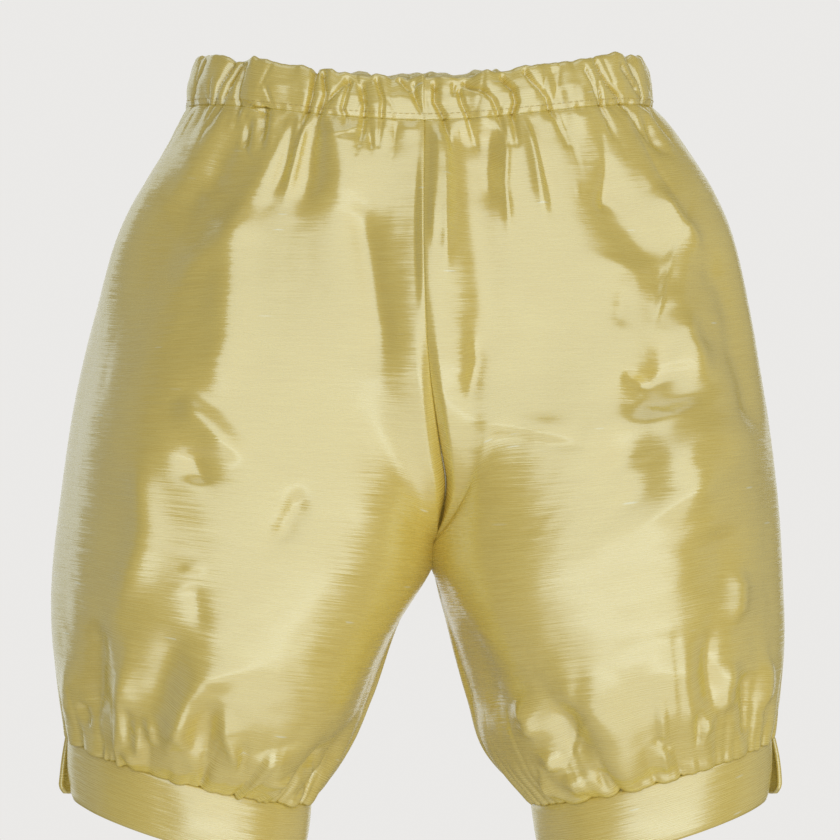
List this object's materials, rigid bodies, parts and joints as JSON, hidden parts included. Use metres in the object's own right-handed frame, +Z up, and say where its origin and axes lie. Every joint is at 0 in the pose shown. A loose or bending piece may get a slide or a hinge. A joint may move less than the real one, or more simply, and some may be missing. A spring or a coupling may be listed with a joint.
{
  "type": "silk knee breeches",
  "caption": "Full knee breeches in pale gold slubbed silk, gathered into an elastic waist casing and into plain bands with open slits at the knees.",
  "frame": {"origin": "middle of the waist casing at half its height at the sides, where the wearer holds the breeches up", "axes": "+Z up along the body, the front faces -Y, and the wearer's left leg is at +X"},
  "size_m": [0.3301, 0.1951, 0.3606],
  "materials": {
    "silk": "pale gold dupion silk, glossy along the folds, with fine cross slubs"
  },
  "bodies": {
    "root": {"right_leg_front": "silk", "right_leg_back": "silk", "left_leg_front": "silk", "left_leg_back": "silk", "waist_casing": "silk", "right_knee_band": "silk", "left_knee_band": "silk"}
  },
  "joints": []
}
